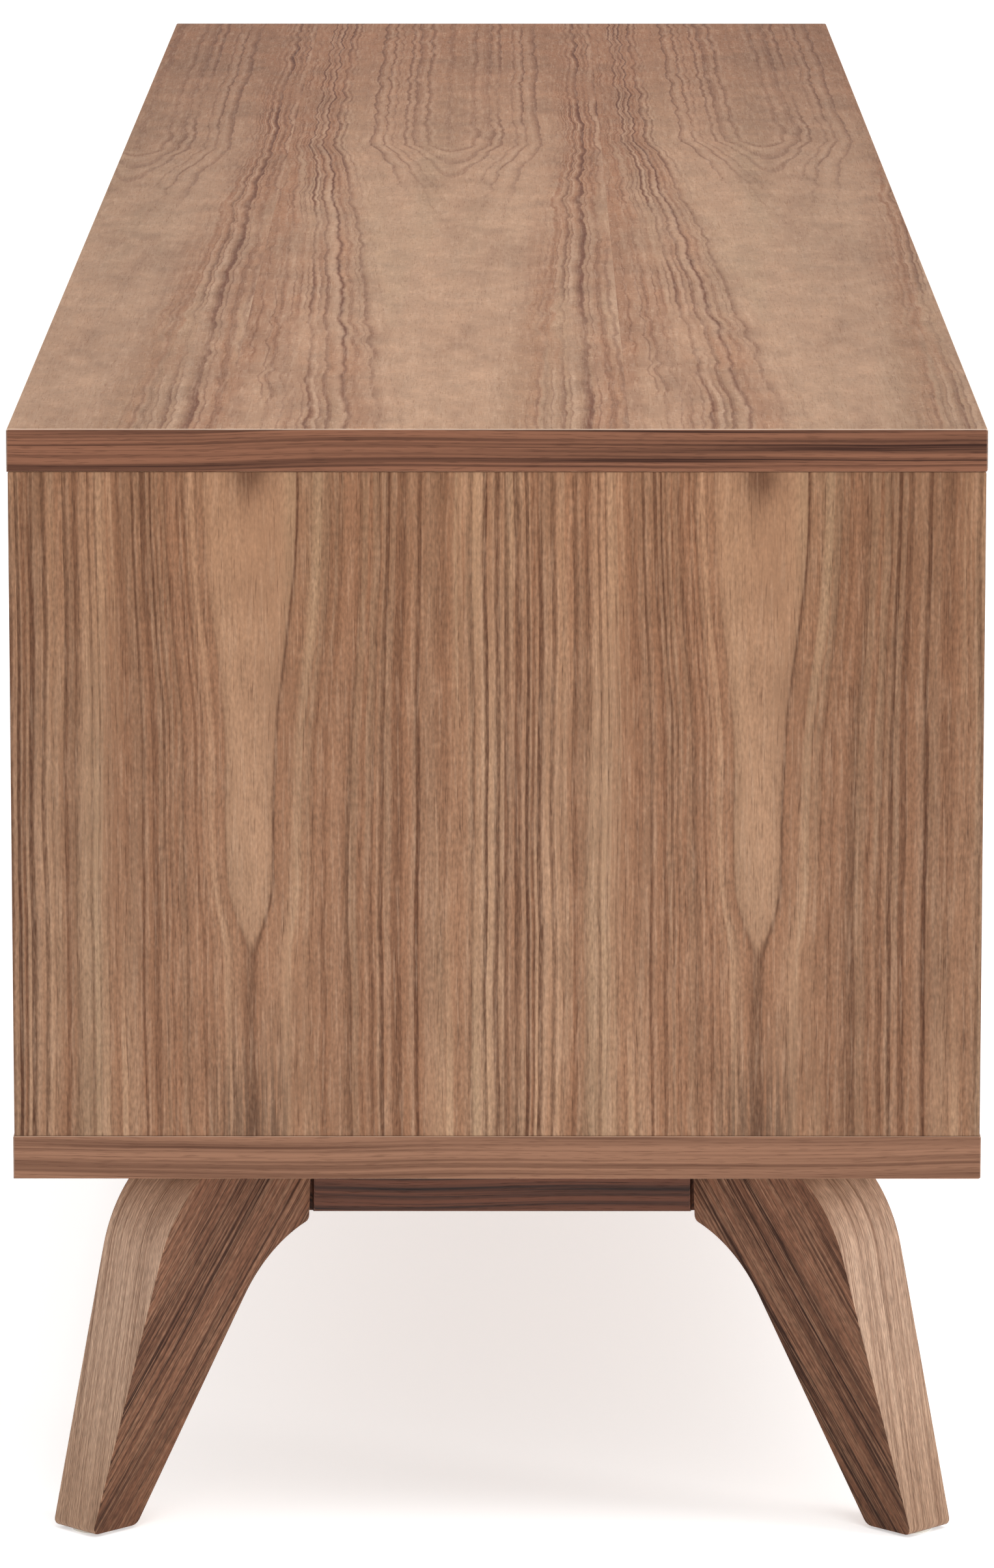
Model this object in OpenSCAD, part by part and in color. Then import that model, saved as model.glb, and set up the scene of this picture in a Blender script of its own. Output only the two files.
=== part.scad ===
// Long, low media cabinet on a splayed leg frame. A veneered body holds two
// pivot-hung doors, an open bay and a drawer on telescopic slides. Four board
// legs stand at 45 degrees under its corners, joined by rails and brackets.
// Right is +X, the front is -Y, and the floor is z = 0.

/* [Body] */
// Length of the top and bottom boards
body_l = 1800; // [1600:10:2000]
// Depth of the top and bottom boards
body_d = 400; // [390:5:460]
// Height of the top face above the floor
total_h = 470; // [465:1:500]
// Thickness of the boards, end panels and dividers
board_t = 18; // [18:0.5:20]
// How far the end panels sit inside the edges of the boards
end_reveal = 0.5; // [0:0.1:1.5]
// Thickness of the back panel
back_t = 5; // [4:0.5:6]
// Distance from the rear edges to the back panel's rear face
back_inset = 10; // [8:1:14]
// Depth of the grooves that hold the back panel
groove_d = 6; // [4:0.5:7]

/* [Bays] */
// Width of the bay between the two dividers
centre_bay_w = 640; // [600:10:700]
// Distance of the doors and drawer front behind the edges of the boards
front_inset = 2; // [1:0.5:4]
// Clear height of the drawer bay, under the fixed shelf
drawer_bay_h = 134; // [130:1:140]
// Thickness of the two loose shelves
shelf_t = 15; // [14:0.5:16]
// Distance between the shelf pin holes
pin_pitch = 32; // [25:1:32]

/* [Doors] */
// Gap around each door and the drawer front
front_gap = 2; // [1.5:0.5:3]
// Width of the finger slots
slot_w = 22; // [20:1:26]
// Length of the finger slots
slot_l = 90; // [80:5:110]
// Radius of the steel pivot pins
pivot_r = 3; // [2.5:0.5:3.5]
// Clearance between a pivot pin and its bush
pivot_play = 0.05; // [0.03:0.01:0.1]

/* [Drawer] */
// Thickness of the drawer's sides, back and inner front
drawer_wall = 12; // [10:1:14]
// Height of the drawer's sides
drawer_side_h = 86; // [80:1:90]
// Length of the drawer, behind its front
drawer_l = 350; // [320:10:350]
// Room for one slide, between the drawer and the divider
slide_room = 13; // [13:0.1:14]

/* [Leg frame] */
// Height of the body's underside above the floor
leg_h = 157; // [155:1:165]
// Distance of the leg frame behind the body's centre line
frame_shift = 2; // [0:0.5:3]
// Distance along the diagonal from the frame's corner to the foot
foot_start = 28; // [26:1:32]
// Length of the foot along the diagonal
foot_w = 25; // [22:1:28]
// Thickness of the leg board at the floor
foot_t = 24.5; // [22:0.5:26]
// Thickness that the leg board gains for each mm of height
leg_taper = 0.1; // [0.08:0.01:0.1]
// Splay of the leg's outer edge, from the vertical
outer_splay = 17; // [15:0.5:18]
// Splay of the leg's inner edge, from the vertical
inner_splay = 33.2; // [31:0.2:34]
// Distance along the diagonal from the frame's corner to the leg's inner end
leg_end = 149; // [147:1:151]
// Height of the rails
rail_h = 36; // [32:1:38]
// Thickness of the rails
rail_t = 20; // [18:1:20]
// Distance of the rails' outer faces inside the body's edges
rail_inset = 94; // [94:1:98]
// Open joint between a rail's end and the leg's inner corner
rail_gap = 0.8; // [0.5:0.1:1.5]
// Thickness of the nylon foot glides
glide_t = 1.2; // [1:0.1:2]

/* [Cable outlets] */
// Radius of the opening through each grommet
outlet_r = 27; // [25:0.5:28]
// Distance of the two outer outlets from the middle
outlet_x = 600; // [550:10:640]

/* [Hidden] */
$fn = 48;
cut = 1;             // how far a cutter runs past the face it opens
play = 0.1;          // clearance of a panel in its groove

// Levels
top_under = total_h - board_t;
floor_top = leg_h + board_t;
shelf_under = floor_top + drawer_bay_h;
shelf_top = shelf_under + board_t;
mid_z = (floor_top + top_under) / 2;

// Places along X, on the right half
end_out = body_l / 2 - end_reveal;
end_in = end_out - board_t;
div_in = centre_bay_w / 2;
div_out = div_in + board_t;

// Places along Y
edge_y = body_d / 2;
front_y = -edge_y + front_inset;
door_back_y = front_y + board_t;
back_rear = edge_y - back_inset;
back_front = back_rear - back_t;
panel_rear = back_front - play;

// Board fasteners, along the panels' top and bottom edges
panel_mids = [-(end_in + end_out) / 2, -(div_in + div_out) / 2,
    (div_in + div_out) / 2, (end_in + end_out) / 2];
bolt_ys = [-150, 150];
dowel_ys = [-110, 110];
dowel_r = 4;
dowel_in_board = 10;
dowel_in_panel = 20;
cam_r = 7.5;
cam_h = 12;
cam_up = 24;         // from a panel's edge to the middle of its cam
bolt_r = 3;
bolt_thread_r = 4;
bolt_in_board = 11;

// Loose shelves and their pins
pin_r = 2.5;
pin_in = 8;
pin_out = 8;
pin_ys = [-135, 135];
pin_rows = 5;
loose_front = door_back_y + 15;
loose_rear = back_front - 10;
loose_under = mid_z + pin_r;

// Doors
door_low = floor_top + front_gap;
door_high = top_under - front_gap;
door_free = div_out + front_gap;
pivot_x = end_in - front_gap - board_t / 2;
pivot_y = front_y + board_t / 2;
pin_in_door = 20;
pin_in_bush = 9;
bush_l = 10;
bush_r = 5;
washer_r = 8;
washer_t = front_gap - 0.3;
pull_x = door_free + 32;

// Magnetic catches, behind each door's free top corner
catch_x = door_free + 70;
catch_y = door_back_y + 2;
catch_w = 36;
catch_d = 14;
catch_h = 12;
ear_w = 64;
ear_t = 3;
ear_screw = 26;
magnet_face = door_back_y + 1.4;
magnet_half = 14;
magnet_h = 6;
strike_z = top_under - catch_h / 2 - 3;
strike_w = 60;
strike_h = 14;
strike_t = 1;
strike_screw = 25;
strike_head_r = 3.4;
strike_head_t = 0.8;

// Drawer
drawer_half = div_in - slide_room;
drawer_low = floor_top + 8;
drawer_high = drawer_low + drawer_side_h;
drawer_rear = door_back_y + drawer_l;
drawer_floor = drawer_low + 8;
drawer_floor_t = 5;
drawer_groove = 5;
drawer_front_low = floor_top + front_gap;
drawer_front_high = shelf_under - front_gap;
drawer_pull_z = (drawer_high + drawer_front_high) / 2 - 1;
front_screws = [for (x = [-230, 230], z = [drawer_low + 24, drawer_high - 18]) [x, z]];
wall_screw_zs = [drawer_low + 28, drawer_high - 16];
wall_screw_ys = [door_back_y + drawer_wall / 2, drawer_rear - drawer_wall / 2];
wall_screw_in = 20;

// Slides: three nested channels on each side
slide_z = drawer_low + 43;
sheet = 1.4;
outer_half = 22.5;
middle_half = 20.2;
inner_half = 17.2;
middle_web = 2.8;    // from the divider to the middle channel's web
channel_gap = 2;     // from the drawer to the middle channel's lips
slide_front = door_back_y + 2;
slide_rear = slide_front + drawer_l - 4;
slide_screw_ys = [-140, -20, 120];

// Leg frame, measured inward from the frame's corner
rail_low = leg_h - rail_h;
rail_in = rail_inset + rail_t;
frame_y = edge_y;
leg_t_mid = foot_t + leg_taper * (leg_h - rail_h / 2);
rail_end = (leg_end + leg_t_mid / 2) / sqrt(2) + rail_gap;
shoulder_z = 115;
shoulder_r = 62;
knee_z = 91;
knee_r = 64.5;
heel_r = 2.5;          // corner of the foot under the outer edge
toe_r = 5;           // corner of the foot under the inner edge
end_r = 3;           // lower corner of the inner end
rail_lip = 3;        // depth of the open joint, from the rail's outer face
rail_tongue_t = 5;
bolt_z = leg_h - rail_h / 2;
cross_front = frame_shift - frame_y + rail_in;
cross_rear = frame_shift + frame_y - rail_in;
cross_dowel_zs = [rail_low + 10, leg_h - 10];
bracket_reach = 28;  // along each rail, from the corner to the bracket's bend
bracket_tab = 30;
bracket_t = 2;
bracket_h = 28;
bracket_s = (2 * rail_in + bracket_reach) / sqrt(2);
frame_bolt_r = 3;
frame_bolt_in = 40;
nut_t = 5;
nut_r = 5.8;
screw_r = 2;
screw_head_r = 4;
screw_head_t = 1.6;
screw_in = 9;        // depth of a small screw in wood
hole_in = 10;        // depth of a small screw's hole
bracket_screw_in = 12;
bracket_screw_ds = [8, 22];  // from the bracket's bend along its tab
glide_r = 9;
glide_stem_r = 2.5;
glide_stem_l = 14;
foot_s = foot_start + foot_w / 2;
rail_screw_xs = [-600, -200, 200, 600];
end_rail_screw = 16;
counterbore = 14;
frame_screw_in = 12;

// Cable outlets and vents
grommet_wall = 3;
grommet_l = 12;
grommet_lip = 5;
outlet_low = floor_top + 52;
outlet_high = (shelf_top + top_under) / 2;
outlets = [[-outlet_x, outlet_low], [0, outlet_high], [outlet_x, outlet_low]];
vent_w = 8;
vent_l = 56;
vent_first = 110;
vent_pitch = 24;
vents = 6;
back_screw_zs = [floor_top + 30, mid_z, top_under - 30];
back_screw_in = 13;

// ---- helpers

module block(low, high) {
    translate(low) cube(high - low);
}

module x_rod(from, r, l) {
    translate([min(from.x, from.x + l), from.y, from.z]) rotate([0, 90, 0]) cylinder(r = r, h = abs(l));
}

module y_rod(from, r, l) {
    translate([from.x, min(from.y, from.y + l), from.z]) rotate([-90, 0, 0]) cylinder(r = r, h = abs(l));
}

module z_rod(from, r, l) {
    translate([from.x, from.y, min(from.z, from.z + l)]) cylinder(r = r, h = abs(l));
}

// Draws its children on the right half, or mirrored on the left half
module on_side(side) {
    if (side < 0) mirror([1, 0, 0]) children();
    else children();
}

module both_sides() {
    children();
    mirror([1, 0, 0]) children();
}

// Turns its children so that +X and +Y run inward from one corner of the leg frame
module at_corner(side, end) {
    translate([side * body_l / 2, frame_shift + end * frame_y, 0])
        on_side(-side)
            if (end > 0) mirror([0, 1, 0]) children();
            else children();
}

module each_corner() {
    for (side = [-1, 1], end = [-1, 1]) at_corner(side, end) children();
}

// A slot with round ends, l long along Y and w wide
module slot_2d(w, l) {
    square([w, l - w], center = true);
    for (end = [-1, 1]) translate([0, end * (l - w) / 2]) circle(r = w / 2);
}

// A finger slot cut through a front, from its face to its back
module finger_slot(x, z, turn) {
    translate([x, door_back_y + cut, z]) rotate([90, turn, 0])
        linear_extrude(board_t + 2 * cut) slot_2d(slot_w, slot_l);
}

// ---- body boards

// Holes in the edges of an upright panel, with its cams let into the face at x
module panel_holes(mid, x, inward) {
    for (z = [floor_top, top_under]) {
        up = z < mid_z ? 1 : -1;
        for (y = bolt_ys) {
            z_rod([mid, y, z - up * cut], bolt_thread_r, up * (cam_up + cut));
            x_rod([x - inward * cut, y, z + up * cam_up], cam_r, inward * (cam_h + cut));
        }
        for (y = dowel_ys) z_rod([mid, y, z - up * cut], dowel_r, up * (dowel_in_panel + cut));
    }
}

module pin_holes(x, inward) {
    for (y = pin_ys, row = [0 : pin_rows - 1])
        x_rod([x - inward * cut, y, mid_z + (row - (pin_rows - 1) / 2) * pin_pitch],
            pin_r, inward * (pin_in + cut));
}

// Holes in the top or bottom board, drilled into the face at z
module board_holes(z, inward) {
    for (x = panel_mids) {
        for (y = bolt_ys) z_rod([x, y, z - inward * cut], bolt_thread_r, inward * (bolt_in_board + cut));
        for (y = dowel_ys) z_rod([x, y, z - inward * cut], dowel_r, inward * (dowel_in_board + cut));
    }
    for (side = [-1, 1]) z_rod([side * pivot_x, pivot_y, z - inward * cut], bush_r, inward * (bush_l + cut));
}

module back_slot() {
    block([-end_in - groove_d, back_front - play, floor_top - groove_d],
        [end_in + groove_d, back_rear + play, top_under + groove_d]);
}

module top_board() color("#8a5f48") difference() {
    block([-body_l / 2, -edge_y, top_under], [body_l / 2, edge_y, total_h]);
    board_holes(top_under, 1);
    back_slot();
    both_sides() for (end = [-1, 1])
        z_rod([catch_x + end * ear_screw, catch_y + catch_d / 2, top_under - cut], screw_r, hole_in + cut);
}

module bottom_board() color("#8f674d") difference() {
    block([-body_l / 2, -edge_y, leg_h], [body_l / 2, edge_y, floor_top]);
    board_holes(floor_top, -1);
    back_slot();
    each_frame_screw() z_rod([0, 0, leg_h - cut], screw_r, frame_screw_in + cut);
}

module end_panel(side) color("#a07a5e") on_side(side) difference() {
    block([end_in, -edge_y + end_reveal, floor_top], [end_out, edge_y - end_reveal, top_under]);
    panel_holes(panel_mids[3], end_in, 1);
    pin_holes(end_in, 1);
    back_slot();
}

module right_end_panel() end_panel(1);
module left_end_panel() end_panel(-1);

module divider(side) color("#946c52") on_side(side) difference() {
    block([div_in, front_y, floor_top], [div_out, panel_rear, top_under]);
    panel_holes(panel_mids[2], div_out, -1);
    pin_holes(div_out, -1);
    for (y = dowel_ys) x_rod([div_in - cut, y, shelf_under + board_t / 2], dowel_r, dowel_in_board + cut);
    for (y = slide_screw_ys) x_rod([div_in - cut, y, slide_z], screw_r, hole_in + cut);
    for (z = back_screw_zs) y_rod([panel_mids[2], panel_rear + cut, z], screw_r, -back_screw_in - 1 - cut);
}

module right_divider() divider(1);
module left_divider() divider(-1);

module back_panel() color("#6f5140") difference() {
    block([-end_in - groove_d + play, back_front, floor_top - groove_d + play],
        [end_in + groove_d - play, back_rear, top_under + groove_d - play]);
    for (place = outlets)
        y_rod([place.x, back_rear + cut, place.y], outlet_r + grommet_wall, -back_t - 2 * cut);
    both_sides() for (i = [0 : vents - 1])
        translate([vent_first + i * vent_pitch, back_rear + cut, outlet_high]) rotate([90, 0, 0])
            linear_extrude(back_t + 2 * cut) slot_2d(vent_w, vent_l);
    both_sides() for (z = back_screw_zs)
        y_rod([panel_mids[2], back_rear + cut, z], screw_r, -back_t - 2 * cut);
}

module fixed_shelf() color("#946c52") difference() {
    block([-div_in, front_y, shelf_under], [div_in, panel_rear, shelf_top]);
    both_sides() for (y = dowel_ys)
        x_rod([div_in + cut, y, shelf_under + board_t / 2], dowel_r, -dowel_in_panel - cut);
}

module loose_shelf(side) color("#946c52") on_side(side)
    block([div_out + 1, loose_front, loose_under], [end_in - 1, loose_rear, loose_under + shelf_t]);

module right_loose_shelf() loose_shelf(1);
module left_loose_shelf() loose_shelf(-1);

// ---- body fasteners and fittings

module shelf_pins() color("silver") both_sides() for (y = pin_ys) {
    x_rod([end_in + pin_in, y, mid_z], pin_r, -pin_in - pin_out);
    x_rod([div_out - pin_in, y, mid_z], pin_r, pin_in + pin_out);
}

module wood_dowels() color("burlywood") {
    for (x = panel_mids, y = dowel_ys) {
        z_rod([x, y, floor_top - dowel_in_board], dowel_r, dowel_in_board + dowel_in_panel);
        z_rod([x, y, top_under + dowel_in_board], dowel_r, -dowel_in_board - dowel_in_panel);
    }
    both_sides() for (y = dowel_ys)
        x_rod([div_in + dowel_in_board, y, shelf_under + board_t / 2],
            dowel_r, -dowel_in_board - dowel_in_panel);
    for (y = [cross_front, cross_rear], z = cross_dowel_zs)
        y_rod([0, y - dowel_r * 3, z], dowel_r, dowel_r * 6);
}

// A cam disc let into the face at x, with a cross recess for the screwdriver
module cam(x, y, z, inward) difference() {
    x_rod([x, y, z], cam_r, inward * cam_h);
    for (turn = [0, 90]) translate([x, y, z]) rotate([turn, 0, 0]) cube([3, 9, 1.6], center = true);
}

module cam_locks() color("silver") both_sides() for (y = bolt_ys, z = [floor_top + cam_up, top_under - cam_up]) {
    cam(end_in, y, z, 1);
    cam(div_out, y, z, -1);
}

module cam_bolts() color("silver") for (x = panel_mids, y = bolt_ys) {
    bolt_l = cam_up - cam_r;
    z_rod([x, y, floor_top], bolt_thread_r, -bolt_in_board);
    z_rod([x, y, floor_top], bolt_r, bolt_l);
    z_rod([x, y, top_under], bolt_thread_r, bolt_in_board);
    z_rod([x, y, top_under], bolt_r, -bolt_l);
}

module cable_grommets() color("#2b211c") for (place = outlets)
    translate([place.x, back_rear, place.y]) rotate([-90, 0, 0]) rotate_extrude()
        polygon([[outlet_r, -grommet_l], [outlet_r + grommet_wall, -grommet_l], [outlet_r + grommet_wall, 0],
            [outlet_r + grommet_wall + grommet_lip, 0], [outlet_r + grommet_wall + grommet_lip, 1.2],
            [outlet_r + grommet_wall + grommet_lip - 1, 2.2], [outlet_r + 0.8, 2.2], [outlet_r, 1.4]]);

module back_screws() color("dimgray") both_sides() for (z = back_screw_zs) {
    y_rod([panel_mids[2], back_rear, z], screw_head_r, screw_head_t);
    y_rod([panel_mids[2], back_rear, z], screw_r, -back_t - back_screw_in);
}

// ---- leg frame

// Points on the curve that carries an edge of the leg from its splay to its end
function bend(start, r, first, last, steps) = [for (i = [0 : steps])
    let (a = first + (last - first) * i / steps)
        start + r * [cos(first) - cos(a), sin(a) - sin(first)]];

// Points that round a corner p between its neighbours a and b
function rounded(a, p, b, r) = let (
    u = (a - p) / norm(a - p),
    v = (b - p) / norm(b - p),
    half = acos(u * v) / 2,
    middle = p + (u + v) / norm(u + v) * r / sin(half),
    from = p + u * r / tan(half) - middle,
    to = p + v * r / tan(half) - middle,
    turn = 180 - 2 * half)
    [for (i = [0 : 4]) middle + (from * sin(turn * (1 - i / 4)) + to * sin(turn * i / 4)) / sin(turn)];

// The leg's outline: distance along the diagonal, and height
module leg_outline() {
    outer_bend = [foot_start + shoulder_z * tan(outer_splay), shoulder_z];
    outer_last = asin(sin(outer_splay) + (leg_h - shoulder_z) / shoulder_r);
    inner_bend = [foot_start + foot_w + knee_z * tan(inner_splay), knee_z];
    inner_last = acos(cos(inner_splay) - (leg_end - inner_bend.x) / knee_r);
    outer = bend(outer_bend, shoulder_r, outer_splay, outer_last, 16);
    inner = bend(inner_bend, knee_r, inner_splay, inner_last, 16);
    heel = [foot_start + glide_t * tan(outer_splay), glide_t];
    toe = [foot_start + foot_w + glide_t * tan(inner_splay), glide_t];
    end_low = inner[16];
    end_high = [leg_end, leg_h];
    polygon(concat(
        rounded(outer_bend, heel, toe, heel_r),
        rounded(heel, toe, inner_bend, toe_r),
        [for (i = [0 : 15]) inner[i]],
        rounded(inner[15], end_low, end_high, end_r),
        [end_high],
        [for (i = [16 : -1 : 0]) outer[i]]));
}

module leg(side, end) color("#6b4634") at_corner(side, end) rotate([0, 0, 45]) difference() {
    intersection() {
        rotate([90, 0, 0]) linear_extrude(60, center = true) leg_outline();
        rotate([90, 0, 90]) linear_extrude(leg_end + cut) polygon([
            [-foot_t / 2, 0], [foot_t / 2, 0],
            [(foot_t + leg_taper * leg_h) / 2, leg_h], [-(foot_t + leg_taper * leg_h) / 2, leg_h]]);
    }
    x_rod([leg_end + cut, 0, bolt_z], frame_bolt_r, -frame_bolt_in - cut);
    z_rod([foot_s, 0, 0], glide_stem_r, glide_t + glide_stem_l + 0.8);
}

module front_right_leg() leg(1, -1);
module front_left_leg() leg(-1, -1);
module rear_right_leg() leg(1, 1);
module rear_left_leg() leg(-1, 1);

// Places its children on every screw that holds the leg frame to the bottom board
module each_frame_screw() {
    for (x = rail_screw_xs, end = [-1, 1])
        translate([x, frame_shift + end * (frame_y - rail_inset - rail_t / 2), 0]) children();
    for (side = [-1, 1], end = [-1, 1])
        translate([side * (body_l / 2 - rail_inset - rail_t / 2), frame_shift + end * end_rail_screw, 0])
            children();
}

module frame_screw_holes() each_frame_screw() {
    z_rod([0, 0, rail_low - cut], screw_r, rail_h + 2 * cut);
    z_rod([0, 0, rail_low - cut], screw_head_r + 0.5, counterbore + cut);
}

// Screws through both tabs of a corner bracket, seen from the frame's corner
module each_bracket_screw() {
    for (d = bracket_screw_ds) {
        translate([rail_in, rail_in + bracket_reach + d, bolt_z]) children();
        translate([rail_in + bracket_reach + d, rail_in, bolt_z]) rotate([0, 0, 90]) mirror([0, 1, 0])
            children();
    }
}

module bracket_screw_holes() each_corner() each_bracket_screw() x_rod([cut, 0, 0], screw_r, -bracket_screw_in - cut);

// Tongue on the end of an end rail: it closes the open joint from behind, 1 mm from the leg's inner end
module rail_tongue() {
    from = rail_inset + rail_lip;
    to = from + rail_tongue_t;
    reach = sqrt(2) * (leg_end + 1);
    translate([0, 0, rail_low]) linear_extrude(rail_h) polygon([
        [from, rail_end + 1], [from, reach - from], [to, reach - to], [to, rail_end + 1]]);
}

module end_rail(side) color("#4f352a") difference() {
    union() {
        on_side(side) block([body_l / 2 - rail_in, frame_shift - frame_y + rail_end, rail_low],
            [body_l / 2 - rail_inset, frame_shift + frame_y - rail_end, leg_h]);
        for (end = [-1, 1]) at_corner(side, end) rail_tongue();
    }
    frame_screw_holes();
    bracket_screw_holes();
}

module right_end_rail() end_rail(1);
module left_end_rail() end_rail(-1);

module cross_dowel_holes() {
    for (y = [cross_front, cross_rear], z = cross_dowel_zs) y_rod([0, y - dowel_r * 3, z], dowel_r, dowel_r * 6);
}

module long_rail(end) color("#4f352a") difference() {
    union() {
        translate([0, frame_shift, 0]) block(
            [-body_l / 2 + rail_end, end > 0 ? frame_y - rail_in : -frame_y + rail_inset, rail_low],
            [body_l / 2 - rail_end, end > 0 ? frame_y - rail_inset : -frame_y + rail_in, leg_h]);
        for (side = [-1, 1]) at_corner(side, end) mirror([1, -1, 0]) rail_tongue();
    }
    frame_screw_holes();
    bracket_screw_holes();
    cross_dowel_holes();
}

module front_rail() long_rail(-1);
module rear_rail() long_rail(1);

module cross_rail() color("#4f352a") difference() {
    block([-rail_t / 2, cross_front, rail_low], [rail_t / 2, cross_rear, leg_h]);
    cross_dowel_holes();
}

// Bent steel strap across each corner, screwed to both rails
module corner_brackets() color("silver") each_corner() difference() {
    bend_at = rail_in + bracket_reach;
    tab_end = bend_at + bracket_tab;
    in = rail_in + bracket_t;
    bend_in = bend_at + bracket_t * (sqrt(2) - 1);
    translate([0, 0, bolt_z - bracket_h / 2]) linear_extrude(bracket_h) polygon([
        [rail_in, tab_end], [rail_in, bend_at], [bend_at, rail_in], [tab_end, rail_in],
        [tab_end, in], [bend_in, in], [in, bend_in], [in, tab_end]]);
    rotate([0, 0, 45]) x_rod([bracket_s - cut, 0, bolt_z], frame_bolt_r + 0.5, bracket_t + 2 * cut);
    each_bracket_screw() x_rod([-cut, 0, 0], screw_r, bracket_t + 2 * cut);
}

module leg_bolts() color("silver") each_corner() rotate([0, 0, 45])
    x_rod([leg_end - frame_bolt_in, 0, bolt_z], frame_bolt_r, bracket_s - leg_end + frame_bolt_in + 14);

module leg_bolt_nuts() color("silver") each_corner() rotate([0, 0, 45])
    translate([bracket_s + bracket_t, 0, bolt_z]) rotate([0, 90, 0]) difference() {
        union() {
            cylinder(r = nut_r + 2, h = 1.2);
            cylinder(r = nut_r, h = 1.2 + nut_t, $fn = 6);
        }
        translate([0, 0, -cut]) cylinder(r = frame_bolt_r, h = nut_t + 2 * cut + 1.2);
    }

module bracket_screws() color("silver") each_corner() each_bracket_screw() {
    x_rod([bracket_t, 0, 0], screw_head_r, screw_head_t);
    x_rod([bracket_t, 0, 0], screw_r, -bracket_t - bracket_screw_in);
}

module frame_screws() color("silver") each_frame_screw() {
    z_rod([0, 0, rail_low + counterbore], screw_head_r, -2.5);
    z_rod([0, 0, rail_low + counterbore], screw_r, rail_h - counterbore + frame_screw_in);
}

module foot_glides() color("#cfc8bd") each_corner() rotate([0, 0, 45]) {
    z_rod([foot_s, 0, 0], glide_r, glide_t);
    z_rod([foot_s, 0, glide_t], glide_stem_r, glide_stem_l);
}

// ---- doors

module door(side) color("#a07a5e") on_side(side) difference() {
    translate([0, 0, door_low]) linear_extrude(door_high - door_low) {
        translate([door_free, front_y]) square([pivot_x - door_free, board_t]);
        translate([pivot_x, pivot_y]) circle(r = board_t / 2, $fn = 64);
    }
    z_rod([pivot_x, pivot_y, door_low - cut], pivot_r, pin_in_door + cut);
    z_rod([pivot_x, pivot_y, door_high + cut], pivot_r, -pin_in_door - cut);
    finger_slot(pull_x, mid_z, 0);
    for (end = [-1, 1])
        y_rod([catch_x + end * strike_screw, door_back_y + cut, strike_z], screw_r, -hole_in - cut);
}

module right_door() door(1);
module left_door() door(-1);

module pivot_pins(side) color("silver") on_side(side) {
    z_rod([pivot_x, pivot_y, door_low + pin_in_door], pivot_r, -pin_in_door - front_gap - pin_in_bush);
    z_rod([pivot_x, pivot_y, door_high - pin_in_door], pivot_r, pin_in_door + front_gap + pin_in_bush);
}

module right_pivot_pins() pivot_pins(1);
module left_pivot_pins() pivot_pins(-1);

module bush() difference() {
    cylinder(r = bush_r, h = bush_l);
    translate([0, 0, -cut]) cylinder(r = pivot_r + pivot_play, h = bush_l + 2 * cut);
}

module pivot_bushes() color("goldenrod") both_sides() {
    translate([pivot_x, pivot_y, floor_top - bush_l]) bush();
    translate([pivot_x, pivot_y, top_under]) bush();
}

module pivot_washers() color("white") both_sides() difference() {
    z_rod([pivot_x, pivot_y, floor_top], washer_r, washer_t);
    z_rod([pivot_x, pivot_y, floor_top - cut], pivot_r + 0.3, washer_t + 2 * cut);
}

module catch_housings() color("#d8d2c8") both_sides() difference() {
    union() {
        block([catch_x - catch_w / 2, catch_y, top_under - catch_h],
            [catch_x + catch_w / 2, catch_y + catch_d, top_under]);
        block([catch_x - ear_w / 2, catch_y, top_under - ear_t],
            [catch_x + ear_w / 2, catch_y + catch_d, top_under]);
    }
    magnet(cut);
    for (end = [-1, 1])
        z_rod([catch_x + end * ear_screw, catch_y + catch_d / 2, top_under + cut], screw_r, -ear_t - 2 * cut);
}

module magnet(extra) block([catch_x - magnet_half, magnet_face - extra, top_under - ear_t - magnet_h],
    [catch_x + magnet_half, magnet_face + 9, top_under - ear_t]);

module catch_magnets() color("dimgray") both_sides() magnet(0);

module catch_screws() color("silver") both_sides() for (end = [-1, 1]) {
    x = catch_x + end * ear_screw;
    z_rod([x, catch_y + catch_d / 2, top_under - ear_t], screw_head_r, -screw_head_t);
    z_rod([x, catch_y + catch_d / 2, top_under - ear_t], screw_r, ear_t + screw_in);
}

module strike_plate(side) color("silver") on_side(side) difference() {
    block([catch_x - strike_w / 2, door_back_y, strike_z - strike_h / 2],
        [catch_x + strike_w / 2, door_back_y + strike_t, strike_z + strike_h / 2]);
    for (end = [-1, 1])
        y_rod([catch_x + end * strike_screw, door_back_y - cut, strike_z], screw_r, strike_t + 2 * cut);
}

module right_strike_plate() strike_plate(1);
module left_strike_plate() strike_plate(-1);

module strike_screws(side) color("dimgray") on_side(side) for (end = [-1, 1]) {
    x = catch_x + end * strike_screw;
    y_rod([x, door_back_y + strike_t, strike_z], strike_head_r, strike_head_t);
    y_rod([x, door_back_y + strike_t, strike_z], screw_r, -strike_t - screw_in);
}

module right_strike_screws() strike_screws(1);
module left_strike_screws() strike_screws(-1);

// ---- drawer

// The slot in the drawer's walls that holds its bottom
module drawer_bottom_slot() {
    reach = drawer_half - drawer_wall + drawer_groove;
    block([-reach, door_back_y + drawer_wall - drawer_groove, drawer_floor - play],
        [reach, drawer_rear - drawer_wall + drawer_groove, drawer_floor + drawer_floor_t + play]);
}

module drawer_holes() {
    for (place = front_screws)
        y_rod([place.x, door_back_y + drawer_wall + cut, place.y], screw_r, -drawer_wall - hole_in - cut);
    both_sides() for (y = wall_screw_ys, z = wall_screw_zs)
        x_rod([drawer_half + cut, y, z], screw_r, -drawer_wall - wall_screw_in - cut);
    both_sides() for (y = slide_screw_ys)
        x_rod([drawer_half + cut, y, slide_z], screw_r, -9 - cut);
}

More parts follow.
